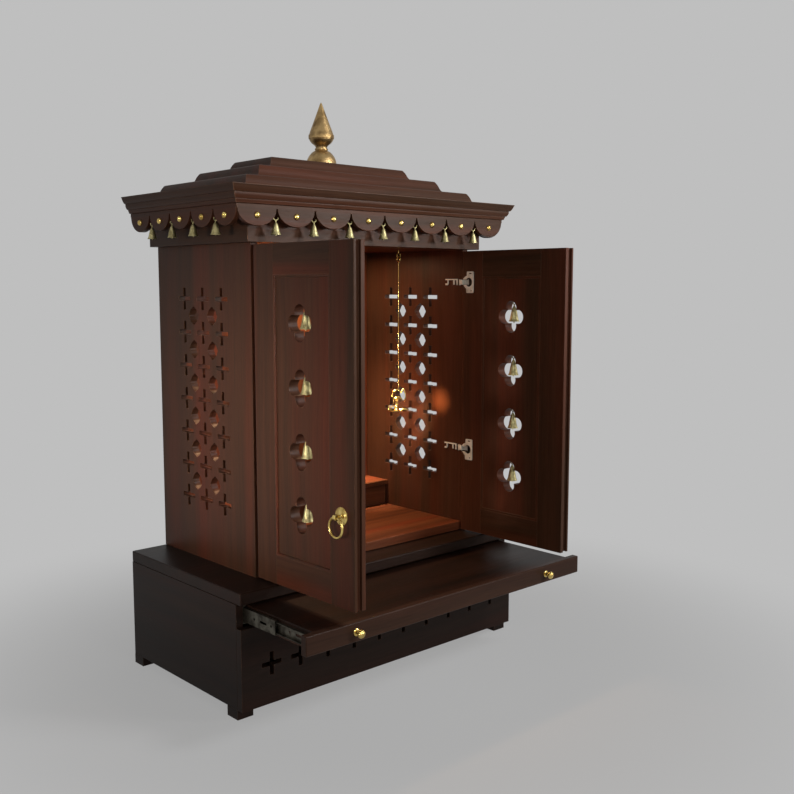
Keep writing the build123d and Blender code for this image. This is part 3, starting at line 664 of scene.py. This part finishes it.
brass = metal("polished_brass", tone(236, 208, 128), tone(168, 138, 72), 0.18, 0.36)
rose = turned([(21, 0), (21, 1.2), (20.2, 2), (18.2, 2.3), (17.6, 3), (15.4, 3.3), (14.8, 4.1), (12, 4.6),
               (8.5, 4.9), (7, 5.6), (5.2, 7), (4.6, 9.5), (5.4, 11.6), (5.4, 12.5), (0, 13)], 56)
knuckle = cut_away(turned([(6.3, -5), (7, -4.2), (7, 4.2), (6.3, 5)], 32),
                   turned([(4.3, -8), (4.3, 8)], 32))
eye_x, pull_y, pull_z, ring_radius = 397, -369.25, 534, 23
for side, name in ((1, "right"), (-1, "left")):
    mirror = Matrix.Diagonal((side, 1, 1, 1))
    body = "door_" + name
    out = mirror @ Matrix.Translation((outer, pull_y, pull_z)) @ Matrix.Rotation(pi / 2, 4, "Y")
    eye = mirror @ Matrix.Translation((eye_x, pull_y, pull_z)) @ Matrix.Rotation(pi / 2, 4, "X")
    piece("pull_rose_" + name, joined((rose, out), (knuckle, eye)), brass, body,
          [body + "_pull_eye"], sharp=32)
    drop = Matrix.Translation((eye_x, pull_y, pull_z - ring_radius)) @ Matrix.Rotation(pi / 2, 4, "Y")
    piece("pull_hoop_" + name, joined((hoop(ring_radius, 3), mirror @ drop)), brass, "pull_" + name,
          [body + "_pull_ring"])


# Door bells: a tall open bell hangs on a short forked wire in each of the door's openings, with a
# small clapper on its own wire inside. Cast and turned brass.
def bent_wire(points, radius, swell=()):
    """A round wire bent smoothly along its points, thicker where its swell is more than 1."""
    path = bpy.data.curves.new("wire", "CURVE")
    path.dimensions = "3D"
    path.bevel_depth = radius
    path.bevel_resolution = 2
    path.resolution_u = 6
    path.use_fill_caps = True
    line = path.splines.new("NURBS")
    line.points.add(len(points) - 1)
    for point, place, thick in zip(line.points, points, swell or [1] * len(points)):
        point.co = (*place, 1)
        point.radius = thick
    line.order_u = 3
    line.use_endpoint_u = True
    holder = bpy.data.objects.new("wire", path)
    mesh = bpy.data.meshes.new_from_object(holder)
    bpy.data.objects.remove(holder)
    return mesh


def bell(width, height):
    """An open bell with its mouth at z 0, a lip, a shoulder and a clapper."""
    r, h = width / 2, height
    outside = [(r, 0), (r * 0.99, h * 0.04), (r * 0.86, h * 0.12), (r * 0.76, h * 0.26),
               (r * 0.66, h * 0.45), (r * 0.52, h * 0.68), (r * 0.38, h * 0.85), (r * 0.22, h * 0.95),
               (r * 0.16, h), (0.001, h)]
    inside = [(0, h * 0.9), (r * 0.3, h * 0.82), (r * 0.56, h * 0.45), (r * 0.68, h * 0.22), (r * 0.86, 0)]
    shell = turned(outside + inside, 32)
    clapper = turned([(0, -h * 0.1), (r * 0.15, -h * 0.06), (r * 0.17, h * 0.02), (r * 0.07, h * 0.1),
                      (1, h * 0.8), (0, h)], 16)
    return joined((shell, Matrix()), (clapper, Matrix()))


def fork(width, height, stem):
    """A forked wire whose two prongs part above a short stem."""
    prongs = []
    for way in (1, -1):
        bends = [(0, 0, 0), (0, 0, stem), (way * width * 0.3, 0, stem + 1), (way * width / 2, 0, stem + 3),
                 (way * width / 2, 0, height)]
        prongs.append((bent_wire(bends, 1.5), Matrix()))
    return joined(*prongs)


bell_brass = metal("bell_brass", tone(184, 174, 128), tone(130, 120, 84), 0.46, 0.6, size=90)
bell_x, bell_y, lowest_mouth, bell_height = 364, -225.5, 494.95, 43
on_top = Matrix.Translation((0, 0, bell_height)) @ Matrix.Rotation(pi / 2, 4, "Z")
door_bell = joined((bell(29, bell_height), Matrix()), (fork(9, 11.4, 4), on_top))
for side, name in ((1, "right"), (-1, "left")):
    places = [(door_bell, Matrix.Translation((side * bell_x, bell_y, lowest_mouth + foil_pitch * i)))
              for i in range(4)]
    piece("door_bells_" + name, joined(*places), bell_brass, "door_" + name,
          ["door_" + name + "_bells"], sharp=35)


# Head: a plain header board round the top of the cabinet, under a run moulding with one deep and two
# shallow slopes, mitred at the front corners. The soffit and top boards close it. Same hardwood.
def curve_to(start, pull, end, steps=6):
    """Points along a hollow or a round between two points, without the first."""
    return [tuple((1 - t) ** 2 * s + 2 * t * (1 - t) * p + t * t * e for s, p, e in zip(start, pull, end))
            for t in (i / steps for i in range(1, steps + 1))]


def run_round(section, half, front, back, bottom):
    """Front, right and left runs of a section, mitred at the front corners."""
    ahead = run(section, (-half, front, bottom), (1, 0, 0), (0, 1, 0), 2 * half, (1, 1))
    right = run(section, (half, front, bottom), (0, 1, 0), (-1, 0, 0), back - front, (1, 0))
    left = run(section, (-half, front, bottom), (0, 1, 0), (1, 0, 0), back - front, (1, 0))
    return {"front": ahead, "right": right, "left": left}


back_edge, header_low, crown_low = 414.25, 1148, 1234
header_half, header_face = 404, -53.75
header_section = [(0, 0), (24, 0), (24, 86), (0, 86)]
for name, mesh in run_round(header_section, header_half, header_face, back_edge, header_low).items():
    wood = outer_wood["x" if name == "front" else "y"]
    piece("header_board_" + name, mesh, wood, "cabinet", ["header_" + name], ease=0.8)
crown_section = ([(0, 43), (0, 41.4), (1, 40)] + curve_to((1, 40), (3.4, 32), (8.4, 25.6), 5)
                 + [(11.6, 24.8), (11.6, 22.4)] + curve_to((11, 22), (12.4, 15.4), (16.2, 10.6), 5)
                 + [(19.2, 10), (19.2, 8), (19.6, 7.6), (22, 1.2), (25, 0), (45, 0), (45, 43)])
crown_half, crown_face = 484.6, -118.15
for name, mesh in run_round(crown_section, crown_half, crown_face, back_edge, crown_low).items():
    wood = outer_wood["x" if name == "front" else "y"]
    piece("crown_moulding_" + name, mesh, wood, "cabinet", ["crown_" + name], sharp=30)
dress(outer_wood["x"], "crown_soffit", "crown_board")


# Valance: a thin board hung under the crown on three sides, its lower edge sawn in round scallops
# parted by narrow slots, with a domed brass nail in each scallop and a small bell at each slot.
def scalloped(length, count):
    """The outline of a scalloped board, its top edge on the x axis."""
    pitch = length / count
    straight, drop = 9, 41
    loop = [(length / 2, 0), (-length / 2, 0), (-length / 2, -straight)]
    for i in range(count):
        middle = (i + 0.5) * pitch - length / 2
        for k in range(29):
            turn = pi * k / 28
            loop.append((middle - (pitch / 2 - 2) * cos(turn), -straight - drop * sin(turn)))
    return loop + [(length / 2, -straight)]


def mitred(mesh, point, away):
    """A mesh cut at a plane, keeping the side the direction points away from."""
    shape = bmesh.new()
    shape.from_mesh(mesh)
    everything = shape.verts[:] + shape.edges[:] + shape.faces[:]
    cut = bmesh.ops.bisect_plane(shape, geom=everything, plane_co=point, plane_no=away, clear_outer=True)
    rim = [e for e in cut["geom_cut"] if isinstance(e, bmesh.types.BMEdge)]
    bmesh.ops.triangle_fill(shape, edges=rim, use_beauty=True)
    return as_mesh(shape)


half, face, thick = 458.6, -92.15, 14
hung_at = Matrix.Translation((0, 0, crown_low))
ahead = sawn([scalloped(2 * half, 8)], thick, 0.8, hung_at @ upright("y", face + thick / 2))
for side in (1, -1):
    ahead = mitred(ahead, (side * half, face, 0), (side, 1, 0))
piece("scallops_front", ahead, outer_wood["x"], "cabinet", ["valance_front"])
for side, name in ((1, "right"), (-1, "left")):
    middle = Matrix.Translation((0, (face + back_edge) / 2, crown_low))
    plane = middle @ upright("x", side * (half - thick / 2))
    mesh = sawn([scalloped(back_edge - face, 5)], thick, 0.8, plane)
    mesh = mitred(mesh, (side * half, face, 0), (-side, -1, 0))
    piece("scallops_" + name, mesh, outer_wood["y"], "cabinet", ["valance_" + name])

nail = turned([(8, 0), (8, 0.7), (7.4, 2.2), (6, 4), (3.6, 5.4), (1.7, 6), (1.5, 5.5), (0, 5.3)], 28)
small_bell = joined((bell(25, 29), Matrix()), (fork(13, 12.5, 5), Matrix.Translation((0, 0, 29))))
nail_level, mouth_level = 1209, 1165
nails, bells = [], []
for i in range(8):
    x = (i - 3.5) * half / 4
    nails.append((nail, Matrix.Translation((x, face, nail_level)) @ Matrix.Rotation(pi / 2, 4, "X")))
    if i:
        bells.append((small_bell, Matrix.Translation((x - half / 8, face + thick / 2, mouth_level))))
pitch = (back_edge - face) / 5
for i in range(5):
    y = face + (i + 0.5) * pitch
    for side in (1, -1):
        on_side = Matrix.Translation((side * half, y, nail_level)) @ Matrix.Rotation(side * pi / 2, 4, "Y")
        nails.append((nail, on_side))
        if i:
            place = Matrix.Translation((side * (half - thick / 2), y - pitch / 2, mouth_level))
            bells.append((small_bell, place @ Matrix.Rotation(pi / 2, 4, "Z")))
piece("valance_nails", joined(*nails), brass, "cabinet", ["valance_studs"], sharp=35)
piece("valance_small_bells", joined(*bells), bell_brass, "cabinet", ["valance_bells"],
      sharp=35)


# Stepped roof: three slabs of the same hardwood, each smaller than the one below, with a rounded top
# edge and a hollow that runs out to a foot, glued one on another.
def slab(half_x, half_y, middle, bottom, section):
    """A slab whose section, as pairs of reach and height, runs round all four sides."""
    shape = bmesh.new()
    rings = [[shape.verts.new((sx * (half_x + out), middle + sy * (half_y + out), bottom + up))
              for sx, sy in ((-1, -1), (1, -1), (1, 1), (-1, 1))] for out, up in section]
    for low, high in zip(rings, rings[1:]):
        for i in range(4):
            j = (i + 1) % 4
            shape.faces.new((low[i], low[j], high[j], high[i]))
    shape.faces.new(rings[0])
    shape.faces.new(rings[-1])
    return as_mesh(shape)


roof_section = ([(20, 0)] + curve_to((20, 0.8), (12.5, 4), (8.6, 13), 6)
                + curve_to((8.6, 13), (5.4, 22), (1.6, 26.4), 5)
                + curve_to((1.6, 26.4), (-0.4, 31), (-5, 31), 4))
roof_slabs = (("lower", 1277, 1310.5), ("middle", 1310, 1343.5), ("upper", 1343, 1374))
roof_y, half_wide, half_deep = 172.25, 383, 195.5
for i, (name, low, high) in enumerate(roof_slabs):
    section = [(out, up * (high - low) / 31) for out, up in roof_section]
    mesh = slab(half_wide - 76 * i, half_deep - 55 * i, roof_y, low, section)
    piece("roof_slab_" + name, mesh, outer_wood["x"], "cabinet", ["roof_step_" + name],
          sharp=30)


# Finial: one turning of cast brass, aged to a soft brown gold with fine lines from the lathe. A domed
# foot, two fine rings, a narrow neck, an opening cup with a band, and a long pointed cone.
aged_brass = metal("aged_brass", tone(186, 156, 108), tone(120, 96, 62), 0.34, 0.52, size=42, lines=0.35)
finial = ([(42, 0), (42, 8), (41.4, 14), (40, 21)] + curve_to((40, 21), (36, 33), (25, 42.6), 6)
          + [(19.4, 46), (18, 47), (17.4, 48.4), (18.2, 49.4), (18.4, 51), (18, 52.6), (16, 53.4)]
          + [(15.7, 56)]
          + curve_to((15.7, 56), (17, 60), (22, 63.6), 4) + curve_to((22, 63.6), (30, 69), (33.4, 77), 5)
          + [(33.2, 78), (34.8, 79), (35.5, 81.4), (35.6, 87), (35, 89.6), (33.6, 91)]
          + [(30.4, 101), (21.6, 123.6), (10.2, 154), (5.4, 167), (2.6, 174.6), (0, 178)])
finial_foot = 1370
mesh = turned(finial, 72)
mesh.transform(Matrix.Translation((0, roof_y, finial_foot)))
piece("finial_turning", mesh, aged_brass, "cabinet", ["finial"], sharp=28)


# Tray: a wide board with a deeper front, on two runners, that slides out from under the deck. Dark
# stained hardwood, screwed together, with two turned brass knobs.
tray_wood = stained_wood("tray_wood_x", "x", tone(44, 31, 24), tone(62, 43, 33), tone(60, 37, 27),
                         tone(150, 116, 92))
piece("tray_front_board", board(*corners("tray_front")), tray_wood, "tray", ["tray_front"],
      ease=2.5)
# The shelf is coloured darker than the tray front: painted shade on its top under the deck.
shaded_shelf_wood = stained_wood("tray_shelf_painted_shade_x", "x", tone(22, 15, 11), tone(36, 22, 15), tone(38, 21, 14),
                          tone(110, 80, 62))
piece("tray_shelf", board(*corners("tray_board")), shaded_shelf_wood, "tray", ["tray_board"], ease=1)
dress(tray_wood, "tray_runners")
tray_front_y, tray_middle, knob_x = -371.75, 258.5, 340
knob = turned([(9, 0), (9, 1), (7.6, 1.8), (5, 2.4), (4.2, 5), (4.2, 8.5), (5.4, 10.4), (8.4, 12.4),
               (10, 15.4), (10, 17.8), (8.6, 20.8), (5, 23), (2, 23.8), (0, 24)], 40)
places = [(knob, Matrix.Translation((x, tray_front_y, tray_middle)) @ Matrix.Rotation(pi / 2, 4, "X"))
          for x in (-knob_x, knob_x)]
piece("tray_turned_knobs", joined(*places), brass, "tray", ["tray_knobs"], sharp=30)


# Slides: three steel channels that telescope inside each other on balls, one set at each side of the
# tray. Rolled and zinc-plated, with slots and holes for the screws.
zinc = metal("slide_zinc", tone(96, 92, 82), tone(52, 48, 42), 0.34, 0.52)
slide_x = 464
for node, web, lip, half_height, thick, body in (
        ("slide_outer", 0, 9.1, 22.5, 2.2, "cabinet"), ("slide_middle", 2.4, 10.66, 17.5, 2.2, "slides"),
        ("slide_inner", 13, 4.8, 13.5, 1.2, "tray")):
    low, high = corners(node)
    sheet = 1.2 if lip > web else -1.2
    section = [(web, -half_height), (lip, -half_height), (lip, thick - half_height),
               (web + sheet, thick - half_height), (web + sheet, half_height - thick),
               (lip, half_height - thick), (lip, half_height), (web, half_height)]
    member = run(section, (slide_x, low.y, tray_middle), (0, 1, 0), (-1, 0, 0), high.y - low.y)
    cutters = [board((slide_x - 24, low.y + 34, tray_middle - 3),
                     (slide_x + 6, low.y + 60, tray_middle + 3))]
    for along in (16, 84, 150, 240):
        drill = turned([(3.2, -20), (3.2, 20)], 20)
        aim = Matrix.Translation((slide_x - 8, low.y + along, tray_middle)) @ Matrix.Rotation(pi / 2, 4, "Y")
        drill.transform(aim)
        cutters.append(drill)
    member = cut_away(member, *cutters)
    pair = joined((member, Matrix()), (member, Matrix.Diagonal((-1, 1, 1, 1))))
    piece(node + "_channels", pair, zinc, body, [node], ease=0.4)


# Hanging lamp: a screw eye in the ceiling, a long thin wire with a loop, and a small shallow oil lamp
# with two curved leaves over it, a twisted stem, a handle and a spout for the wick. Brass.
lamp_x, lamp_y, lamp_low = 270, 148.25, 662
link_radius, link_wire, link_z = 7, 1.5, 1133
loop_z = link_z - 2 * link_radius + 2 * link_wire + 0.5
link = hoop(link_radius, link_wire, 32, 8)
shank = turned([(link_wire, 0), (link_wire, 8)], 12)
mesh = joined((link, Matrix.Translation((lamp_x, lamp_y, link_z)) @ Matrix.Rotation(pi / 2, 4, "X")),
              (shank, Matrix.Translation((lamp_x, lamp_y, link_z + link_radius))))
piece("lamp_screw_eye", mesh, brass, "cabinet", ["lamp_hook"])
dish = turned([(0, 0), (12, 0), (17, 1), (19, 3), (19, 5.8), (17, 6), (15, 4.4), (0, 3.4)], 40)
dish.transform(Matrix.Translation((-14, 0, 2)) @ Matrix.Diagonal((1, 0.9, 1, 1)))
spout = bent_wire([(3, 0, 6), (9, 0, 8), (16, 0, 8.6), (24, 0, 8.6), (32, 0, 9)], 4.6,
                  (0.9, 1.2, 1.2, 0.9, 0.2))
handle = bent_wire([(-31, 0, 5), (-30, 0, 9), (-29, 0, 15), (-29, 0, 22)], 2.6, (1, 0.9, 1.1, 1.2))
loop = bent_wire([(-23, 0, 5), (-23, 0, 11), (-23, 0, 19), (-17, 0, 20), (-11, 0, 19), (-11, 0, 11),
                  (-11, 0, 5)], 1.8)
post = bent_wire([(-5, 0, 5), (-5.5, 0, 16), (-6, 0, 30), (-6, 0, 44)], 4.2, (1.3, 1.1, 1.1, 1.3))
twist = bent_wire([(4.8 * cos(t * 0.9) - 5.6, 4.8 * sin(t * 0.9), 6 + 2.6 * t) for t in range(16)], 2.8)
arms = bent_wire([(-13, 0, 42), (-7, 0, 46), (2, 0, 46), (9, 0, 43), (12, 0, 37)], 2.6,
                 (1, 1.4, 1.4, 1.1, 0.6))
left_leaf = bent_wire([(1, 0, 68), (-5, 0, 69), (-12, 0, 66), (-17, 0, 59), (-19.5, 0, 52)], 3.6,
                      (0.6, 1.1, 1.4, 0.9, 0.5))
right_leaf = bent_wire([(2, 0, 70), (6, 0, 60), (10, 0, 62), (14, 0, 75), (18, 0, 64), (21, 0, 56)], 1.8,
                       (0.5, 1, 1.4, 0.9, 1.5, 0.8))
left_strand = bent_wire([(-16, 0, 49), (-15, 0, 36), (-15, 0, 26)], 1.1)
right_strand = bent_wire([(21, 0, 57), (22, 0, 46), (18, 0, 32)], 1.1)
bead = turned(arc(0, 0, 4, -90, 90, 8), 16)
line = bent_wire([(0, 0, 66), (0, 0, 200), (0, 0, 340), (0, 0, loop_z - link_radius - lamp_low)], 1.1)
aslant = Matrix.Translation((lamp_x, lamp_y, lamp_low)) @ Matrix.Rotation(radians(-42), 4, "Z")
parts = (dish, spout, handle, loop, post, twist, arms, left_leaf, right_leaf, left_strand, right_strand,
         line)
hung = [(part, aslant) for part in parts]
hung.append((bead, aslant @ Matrix.Translation((-19, 0, 50))))
hung.append((link, Matrix.Translation((lamp_x, lamp_y, loop_z)) @ Matrix.Rotation(pi / 2, 4, "Y")))
piece("hanging_oil_lamp", joined(*hung), brass, "lamp", ["hanging_lamp"], sharp=35)
